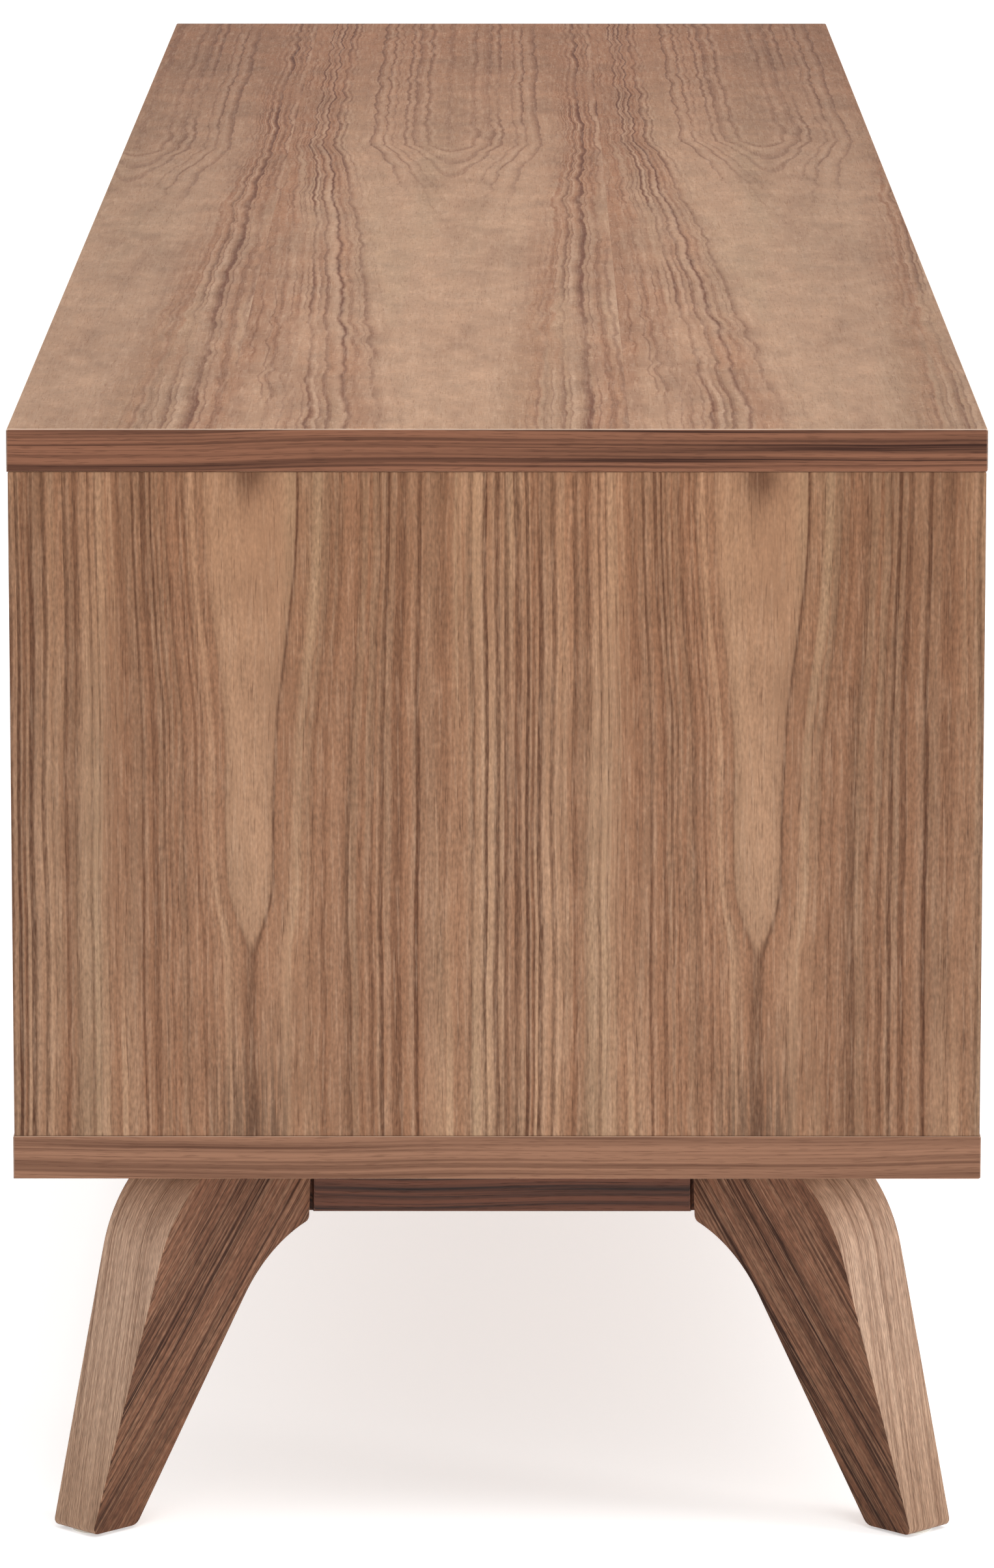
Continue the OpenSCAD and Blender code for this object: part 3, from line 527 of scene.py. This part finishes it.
def leg_walnut():
    """Solid walnut of the legs: grain leaning along the leg. The narrow outer faces are paler and the wide
    faces darker, partly for their grain and partly as painted light and painted shade, and the legs darken
    towards the floor as painted shade."""
    s = Surface("leg_walnut", Specular_IOR_Level=0.12)
    # The leg boards stand at 45 degrees under the corners: out is the distance from the corner along
    # the board, and depth the distance through it.
    side, end = s.x.sign(), (s.y - LEG_SHIFT).sign()
    in_x, in_y = HALF_LENGTH - abs(s.x), HALF_DEPTH - abs(s.y - LEG_SHIFT)
    diagonal = math.sqrt(0.5)
    out, depth = (in_x + in_y) * diagonal, (in_x - in_y) * diagonal
    # The grain leans along the leg, and its rings lie aslant through the board.
    lean, slant = math.radians(33), 2.6
    seed = side * 3.7 + end * 1.9
    bend = s.wobble(out * 7.0, s.z * 7.0, seed, detail=1.0) * (2.5 * MM)
    cross = out * math.cos(lean) - s.z * math.sin(lean) + depth * slant + bend
    along = out * math.sin(lean) + s.z * math.cos(lean)

    wide = s.noise(cross * 150.0, along * 2.5, seed + 3.0, detail=2.0, rough=0.6)
    fine = s.noise(cross * 620.0, along * 6.0, seed + 6.0, detail=2.0, rough=0.6)
    hair = s.noise(cross * 1300.0, along * 24.0, seed + 8.0, detail=1.0)
    grit = s.noise(along * 300.0, cross * 820.0, seed + 41.0, detail=1.0)
    pore, fleck = pores(s, along, cross, seed)

    # Narrow faces look out of the corner, wide faces look across the board.
    narrow_pale_and_lit = (abs(s.facing[X] * side + s.facing[Y] * end) * diagonal).above(0.35, 0.75)
    across_board = abs(s.facing[X] * side - s.facing[Y] * end) * diagonal
    arris = across_board.above(0.2, 0.4) * across_board.below(0.85, 0.99)

    # Pale set on the narrow faces, dark set on the wide ones: partly grain, partly painted light and shade.
    light = s.mix(narrow_pale_and_lit, rgb(128, 89, 68), rgb(190, 158, 135))
    dark = s.mix(narrow_pale_and_lit, rgb(52, 29, 20), rgb(136, 104, 84))
    pale = s.mix(narrow_pale_and_lit, rgb(156, 120, 96), rgb(208, 178, 154))
    mark = wide.above(0.42, 0.66) * 0.45 + fine.above(0.44, 0.62) * 0.55
    colour = s.mix(mark.clip(), light, dark)
    colour = s.mix(hair.above(0.47, 0.66) * 0.55, colour, pale)
    colour = s.mix(pore * 0.4, colour, dark)
    # Painted highlight along the arrises between the faces.
    colour = s.mix(arris * 0.25, colour, pale)
    # Painted shade: the legs turn darker towards the floor.
    colour = s.dim(colour, grit.to(0.45, 1.55), s.z.below(-0.02, 0.15), FOOT_SHADE_LOSSES)
    height = 0.8 - pore * 0.5 - mark * 0.25
    return s.finish(colour, (0.5 + fleck * 0.08 + pore * 0.1).clip(), height, 0.12 * MM)


def rail_walnut(name, grain):
    """Dark walnut of the rails, dark partly as painted shade under the cabinet. Its grain runs along the
    rail, and its rings lie aslant through it.
    """
    s = Surface(name, Specular_IOR_Level=0.3)
    axes = [s.x, s.y, s.z]
    slant = 1.7
    across = axes[1 - grain] * slant + s.z
    light, dark = rgb(106, 64, 46), rgb(36, 20, 15)
    wood = streaks(s, axes[grain], across, 5.0, light, dark, scale=0.7, amount=1.2)
    # Painted highlight on the arrises.
    colour, _ = arris_light_and_shade(s, wood.colour, s.facing, rgb(132, 98, 80), 0.4)
    return s.finish(colour, wood.rough, wood.height, 0.1 * MM)


def backing_board():
    """Thin brown backing board with a fine printed grain, and its raw edge."""
    s = Surface("backing_board", Specular_IOR_Level=0.25)
    bend = s.wobble(s.z * 3.0, s.x * 6.0, 1.0) * (3.0 * MM)
    wide = s.noise((s.x + bend) * 120.0, s.z * 2.0, 1.0, detail=3.0, rough=0.6)
    fine = s.noise((s.x + bend) * 900.0, s.z * 9.0, 2.0, detail=2.0)
    fibre = s.noise(s.x * 700.0, s.y * 700.0, s.z * 700.0, detail=2.0)
    colour = s.mix(wide.above(0.35, 0.7), rgb(132, 98, 76), rgb(98, 68, 50))
    colour = s.mix(fine.above(0.5, 0.72) * 0.4, colour, rgb(78, 52, 38))
    colour = s.mix(fibre.above(0.55, 0.75) * 0.2, colour, rgb(160, 128, 104))
    return s.finish(colour, fibre.to(0.55, 0.75), fibre * 0.6 + fine * 0.4, 0.08 * MM)


def birch(name, run, edge):
    """Pale birch plywood: calm grain on its faces, and its plies on the edges that look up or down."""
    s = Surface(name, Specular_IOR_Level=0.35)
    axes = [s.x, s.y, s.z]
    along, across = axes[run], (axes[edge] if run == Z else s.z)
    bend = s.wobble(along * 4.0, across * 9.0, 2.0) * (4.0 * MM)
    wide = s.noise(along * 2.0, (across + bend) * 70.0, 3.0, detail=3.0, rough=0.6)
    fine = s.noise(along * 14.0, (across + bend) * 900.0, 4.0, detail=2.0)
    fleck = s.noise(along * 60.0, across * 900.0, 6.0, detail=1.0).above(0.62, 0.75)
    face = s.mix(wide.above(0.35, 0.7), rgb(226, 200, 162), rgb(206, 174, 132))
    face = s.mix(fine.above(0.5, 0.75) * 0.3, face, rgb(188, 152, 112))
    face = s.mix(fleck * 0.3, face, rgb(168, 128, 90))
    ply = 1.5 * MM
    glue = (axes[edge] / ply).part().above(0.86, 0.95)
    odd = ((axes[edge] / (2 * ply)).part() - 0.5).above(-0.02, 0.02)
    layer = s.mix(odd, rgb(214, 184, 142), rgb(176, 134, 92))
    layer = s.mix(glue * 0.7, layer, rgb(112, 78, 50))
    layer = s.mix(fine.above(0.45, 0.7) * 0.35, layer, rgb(150, 110, 72))
    on_edge = abs(s.facing[Z]).above(0.6, 0.8)
    colour = s.mix(on_edge, face, layer)
    return s.finish(colour, (fine * 0.15 + 0.42).clip(), fine * 0.6 + wide * 0.2, 0.06 * MM)


# ---- metal, plastic and the rest


def steel():
    """Zinc-plated steel: cool grey, with faint bloom, fine scratches and duller spots."""
    s = Surface("zinc_steel", Metallic=1.0)
    bloom = s.noise(s.x * 90.0, s.y * 90.0, s.z * 90.0, detail=3.0, rough=0.6)
    spangle = s.noise(s.x * 420.0, s.y * 420.0, s.z * 420.0, detail=2.0)
    scratch = s.noise(s.x * 300.0, s.y * 30.0, s.z * 2600.0, detail=2.0)
    colour = s.mix(bloom.above(0.35, 0.7), rgb(196, 199, 204), rgb(168, 170, 172))
    colour = s.mix(spangle.above(0.5, 0.7) * 0.3, colour, rgb(206, 204, 186))
    rough = (bloom * 0.25 + scratch.above(0.55, 0.7) * 0.1 + 0.22).clip()
    return s.finish(colour, rough, scratch * 0.5 + spangle * 0.3, 0.02 * MM)


def black_steel():
    """Dark steel of the hidden brackets, dark as painted shade so the open joints in front of them look
    shaded, with a faint brown bloom.
    """
    s = Surface("black_steel", Metallic=0.6)
    bloom = s.noise(s.x * 70.0, s.y * 70.0, s.z * 70.0, detail=4.0, rough=0.6)
    grain = s.noise(s.x * 900.0, s.y * 900.0, s.z * 900.0, detail=2.0)
    colour = s.mix(bloom.above(0.4, 0.7), rgb(40, 38, 38), rgb(62, 52, 46))
    return s.finish(colour, (bloom * 0.3 + 0.35).clip(), grain, 0.03 * MM)


def brass():
    """Turned brass with a light tarnish."""
    s = Surface("brass", Metallic=1.0)
    tarnish = s.noise(s.x * 260.0, s.y * 260.0, s.z * 260.0, detail=3.0, rough=0.6)
    turned = s.noise(s.z * 5200.0, detail=2.0)
    colour = s.mix(tarnish.above(0.35, 0.75), rgb(214, 176, 104), rgb(150, 112, 62))
    return s.finish(colour, (tarnish * 0.3 + 0.2).clip(), turned, 0.02 * MM)


def plastic(name, light, dark, rough, grain, **sockets):
    """Moulded plastic with a fine spark-eroded texture and a slight mottle."""
    s = Surface(name, **sockets)
    texture = s.noise(s.x * grain, s.y * grain, s.z * grain, detail=2.0)
    mottle = s.noise(s.x * 45.0, s.y * 45.0, s.z * 45.0, detail=3.0)
    patches = s.noise(s.x * 220.0, s.y * 220.0, s.z * 220.0, detail=4.0, rough=0.65)
    colour = s.mix(mottle.above(0.3, 0.7), light, dark)
    return s.finish(colour, (patches * 0.2 + rough - 0.1).clip(), texture, 0.05 * MM)


def magnet():
    """Pressed ferrite: dark grey, slightly granular."""
    s = Surface("ferrite", Metallic=0.3)
    grain = s.noise(s.x * 1500.0, s.y * 1500.0, s.z * 1500.0, detail=3.0)
    smear = s.noise(s.x * 120.0, s.y * 120.0, s.z * 120.0, detail=3.0)
    colour = s.mix(grain.above(0.4, 0.7), rgb(62, 62, 66), rgb(92, 92, 96))
    return s.finish(colour, smear.to(0.35, 0.6), grain, 0.04 * MM)


# ---- which material each piece gets

top_wood = board("top_walnut", TOP_FIGURE, Z, X, TOP_EDGE, TOP_ARRIS)
base_wood = board("base_walnut", replace(TOP_FIGURE, seed=6.2), Z, X, BASE_EDGE, BOARD_ARRIS)
shelf_wood = board("shelf_walnut", replace(TOP_FIGURE, seed=12.5), Z, X, TOP_EDGE, BOARD_ARRIS)
panel_wood = board("panel_walnut", PANEL_FIGURE, X, Z, BASE_EDGE, PANEL_ARRIS)
front_wood = board("front_walnut", FRONT_FIGURE, Y, Z, TOP_EDGE, FRONT_ARRIS, shift=0.06)
leg_wood = leg_walnut()
end_rail_wood, long_rail_wood = rail_walnut("end_rail_walnut", Y), rail_walnut("long_rail_walnut", X)
back_wood = backing_board()
side_birch = birch("birch_sides", Y, X)
cross_birch = birch("birch_ends", X, Y)
dowel_birch = birch("birch_dowels", Z, X)
zinc, shade_black_steel, brass_turned, ferrite = steel(), black_steel(), brass(), magnet()
nylon = plastic("pale_nylon", rgb(226, 222, 212), rgb(208, 202, 190), 0.42, 700.0,
                Subsurface_Weight=0.15, Subsurface_Scale=0.002)
dark_plastic = plastic("brown_plastic", rgb(52, 40, 34), rgb(40, 30, 26), 0.5, 900.0)

LOOKS = {
    top_wood: ["top_board"],
    base_wood: ["bottom_board"],
    panel_wood: ["right_end_panel", "left_end_panel", "right_divider", "left_divider"],
    front_wood: ["right_door", "left_door", "drawer_front"],
    shelf_wood: ["fixed_shelf", "right_loose_shelf", "left_loose_shelf"],
    leg_wood: ["front_right_leg", "front_left_leg", "rear_right_leg", "rear_left_leg"],
    end_rail_wood: ["right_end_rail", "left_end_rail", "cross_rail"],
    long_rail_wood: ["front_rail", "rear_rail"],
    back_wood: ["back_panel"],
    side_birch: ["drawer_right_side", "drawer_left_side"],
    cross_birch: ["drawer_inner_front", "drawer_back", "drawer_bottom"],
    dowel_birch: ["wood_dowels"],
    zinc: ["shelf_pins", "cam_locks", "cam_bolts", "back_screws", "leg_bolts", "leg_bolt_nuts",
           "frame_screws", "catch_screws", "slide_screws", "drawer_screws",
           "right_outer_slide", "left_outer_slide", "right_middle_slide", "left_middle_slide",
           "right_inner_slide", "left_inner_slide", "right_pivot_pins", "left_pivot_pins",
           "right_strike_plate", "left_strike_plate", "right_strike_screws", "left_strike_screws"],
    shade_black_steel: ["corner_brackets", "bracket_screws"],
    brass_turned: ["pivot_bushes"],
    nylon: ["foot_glides", "pivot_washers", "catch_housings"],
    dark_plastic: ["cable_grommets"],
    ferrite: ["catch_magnets"],
}
for material, names in LOOKS.items():
    for name in names:
        slots = nodes[name].data.materials
        slots.clear()
        slots.append(material)

# ---- softened edges

# Two faces at a larger angle than SHARP meet in an edge; LONG_EDGE is longer than any piece of a
# small hole's rim.
SHARP = math.radians(35)
LONG_EDGE = 6 * MM


def geometry_group(name):
    """An empty geometry node group, its input and its output."""
    tree = bpy.data.node_groups.new(name, "GeometryNodeTree")
    for in_out in ("INPUT", "OUTPUT"):
        tree.interface.new_socket("Geometry", in_out=in_out, socket_type="NodeSocketGeometry")
    return tree, tree.nodes.new("NodeGroupInput").outputs[0], tree.nodes.new("NodeGroupOutput").inputs[0]


def smoothing():
    """Geometry nodes that shade smoothly across every edge flatter than SHARP."""
    tree, start, end = geometry_group("smooth_by_angle")
    faces, edges = (tree.nodes.new("GeometryNodeSetShadeSmooth") for _ in range(2))
    faces.domain, edges.domain = "FACE", "EDGE"
    angle = tree.nodes.new("GeometryNodeInputMeshEdgeAngle")
    flatter = tree.nodes.new("FunctionNodeCompare")
    flatter.operation = "LESS_THAN"
    flatter.inputs[1].default_value = SHARP
    link = tree.links.new
    link(start, faces.inputs["Geometry"])
    link(faces.outputs[0], edges.inputs["Geometry"])
    link(angle.outputs[0], flatter.inputs[0])
    link(flatter.outputs[0], edges.inputs["Shade Smooth"])
    link(edges.outputs[0], end)
    return tree


def long_edges():
    """Geometry nodes that give every sharp edge longer than LONG_EDGE a bevel weight of 1."""
    tree, start, end = geometry_group("long_edges")
    ends = tree.nodes.new("GeometryNodeInputMeshEdgeVertices")
    span = tree.nodes.new("ShaderNodeVectorMath")
    span.operation = "DISTANCE"
    angle = tree.nodes.new("GeometryNodeInputMeshEdgeAngle")
    longer, sharper = (tree.nodes.new("FunctionNodeCompare") for _ in range(2))
    longer.inputs[1].default_value, sharper.inputs[1].default_value = LONG_EDGE, SHARP
    both = tree.nodes.new("FunctionNodeBooleanMath")
    both.operation = "AND"
    weight = tree.nodes.new("GeometryNodeStoreNamedAttribute")
    weight.data_type, weight.domain = "FLOAT", "EDGE"
    weight.inputs["Name"].default_value = "bevel_weight_edge"
    weight.inputs["Value"].default_value = 1.0
    link = tree.links.new
    link(ends.outputs["Position 1"], span.inputs[0])
    link(ends.outputs["Position 2"], span.inputs[1])
    link(span.outputs["Value"], longer.inputs[0])
    link(angle.outputs[0], sharper.inputs[0])
    link(longer.outputs[0], both.inputs[0])
    link(sharper.outputs[0], both.inputs[1])
    link(both.outputs[0], weight.inputs["Selection"])
    link(start, weight.inputs["Geometry"])
    link(weight.outputs[0], end)
    return tree


SMOOTH, LONG = smoothing(), long_edges()

# Width of the rounding on each material's arrises.
ARRIS = {
    top_wood: 1.0 * MM, base_wood: 0.7 * MM, panel_wood: 0.6 * MM, front_wood: 0.9 * MM,
    shelf_wood: 0.7 * MM, leg_wood: 1.2 * MM, end_rail_wood: 1.0 * MM, long_rail_wood: 1.0 * MM,
    back_wood: 0.3 * MM, side_birch: 0.6 * MM, cross_birch: 0.5 * MM, dowel_birch: 0.5 * MM,
    zinc: 0.2 * MM, shade_black_steel: 0.3 * MM, brass_turned: 0.3 * MM, nylon: 0.3 * MM,
    dark_plastic: 0.3 * MM, ferrite: 0.3 * MM,
}

# Boards with many small holes: only their long edges are rounded, because the rim of a small hole
# would otherwise limit the width of every rounding on the board.
BORED = ["fixed_shelf", "drawer_inner_front", "drawer_back"]
for material in (top_wood, base_wood, panel_wood, end_rail_wood, long_rail_wood, back_wood, side_birch):
    BORED += LOOKS[material]

# Each piece: doubled points joined, flat faces made whole, arrises rounded, and smooth shading.
for name, piece in nodes.items():
    weld = piece.modifiers.new("weld", "WELD")
    weld.merge_threshold = 0.01 * MM
    flat = piece.modifiers.new("flat_faces", "DECIMATE")
    flat.decimate_type = "DISSOLVE"
    flat.angle_limit = math.radians(0.5)
    if name in BORED:
        marks = piece.modifiers.new("long_edges", "NODES")
        marks.node_group = LONG
    bevel = piece.modifiers.new("arris", "BEVEL")
    bevel.width = ARRIS[piece.data.materials[0]]
    bevel.segments = 2
    bevel.limit_method = "WEIGHT" if name in BORED else "ANGLE"
    bevel.angle_limit = SHARP
    bevel.miter_outer = "MITER_ARC"
    shade = piece.modifiers.new("smooth", "NODES")
    shade.node_group = SMOOTH
    weigh = piece.modifiers.new("weighted", "WEIGHTED_NORMAL")
    weigh.keep_sharp = True

# ---- studio
#
# The floor glows a little and the sky is bright, so that the background comes out nearly white.

FLOOR_SIZE = 80.0
FLOOR_GLOW = 0.45
SKY = 0.8
WHITE = (1.0, 1.0, 1.0, 1.0)

scene = bpy.context.scene
scene.view_settings.view_transform = "Standard"
scene.view_settings.look = "None"


def stage_floor():
    """A wide pale floor that fades into the backdrop."""
    half = FLOOR_SIZE / 2
    corners = [(-half, -half, 0), (half, -half, 0), (half, half, 0), (-half, half, 0)]
    mesh = bpy.data.meshes.new("floor")
    mesh.from_pydata(corners, [], [(0, 1, 2, 3)])
    floor = bpy.data.objects.new("floor", mesh)
    scene.collection.objects.link(floor)
    s = Surface("pale_floor", Specular_IOR_Level=0.1, Emission_Color=WHITE, Emission_Strength=FLOOR_GLOW)
    speck = s.noise(s.x * 300.0, s.y * 300.0, detail=2.0)
    cloud = s.noise(s.x * 1.5, s.y * 1.5, 4.0, detail=2.0)
    tone = speck * 0.01 + cloud * 0.01 + 0.9
    mesh.materials.append(s.finish(s.point(tone, tone, tone), 0.85, speck, 0.05 * MM))


def point_at(thing, place, target):
    """Puts a light or the camera at place, looking at target."""
    thing.location = place
    thing.rotation_euler = (Vector(target) - Vector(place)).to_track_quat("-Z", "Y").to_euler()
    scene.collection.objects.link(thing)


def area_light(name, place, target, width, height, watts):
    """A rectangular light at place, shining towards target."""
    data = bpy.data.lights.new(name, "AREA")
    data.shape = "RECTANGLE"
    data.size, data.size_y, data.energy = width, height, watts
    point_at(bpy.data.objects.new(name, data), place, target)


stage_floor()
world = bpy.data.worlds.new("studio")
world.use_nodes = True
backdrop = world.node_tree.nodes["Background"]
backdrop.inputs["Color"].default_value = WHITE
backdrop.inputs["Strength"].default_value = SKY
scene.world = world

# One wide light overhead, and one low behind the right end, which lights the rear legs.
area_light("overhead", (1.3, 0.6, 3.4), (0.3, 0, 0.25), 3.0, 2.4, 60.0)
area_light("rear_side", (2.0, 4.0, 1.3), (0.85, 0.1, 0.15), 1.6, 1.6, 60.0)

# The camera looks at the right end from above, from about 3.5 m away.
VIEWPOINT = (HALF_LENGTH + 3.429, 0.005, high.z + 0.479)
SUBJECT = (HALF_LENGTH, 0.0, 0.323)
camera = bpy.data.objects.new("camera", bpy.data.cameras.new("camera"))
camera.data.lens = 195.2
camera.data.sensor_width = 36.0
camera.data.clip_end = 100.0
point_at(camera, VIEWPOINT, SUBJECT)
scene.camera = camera
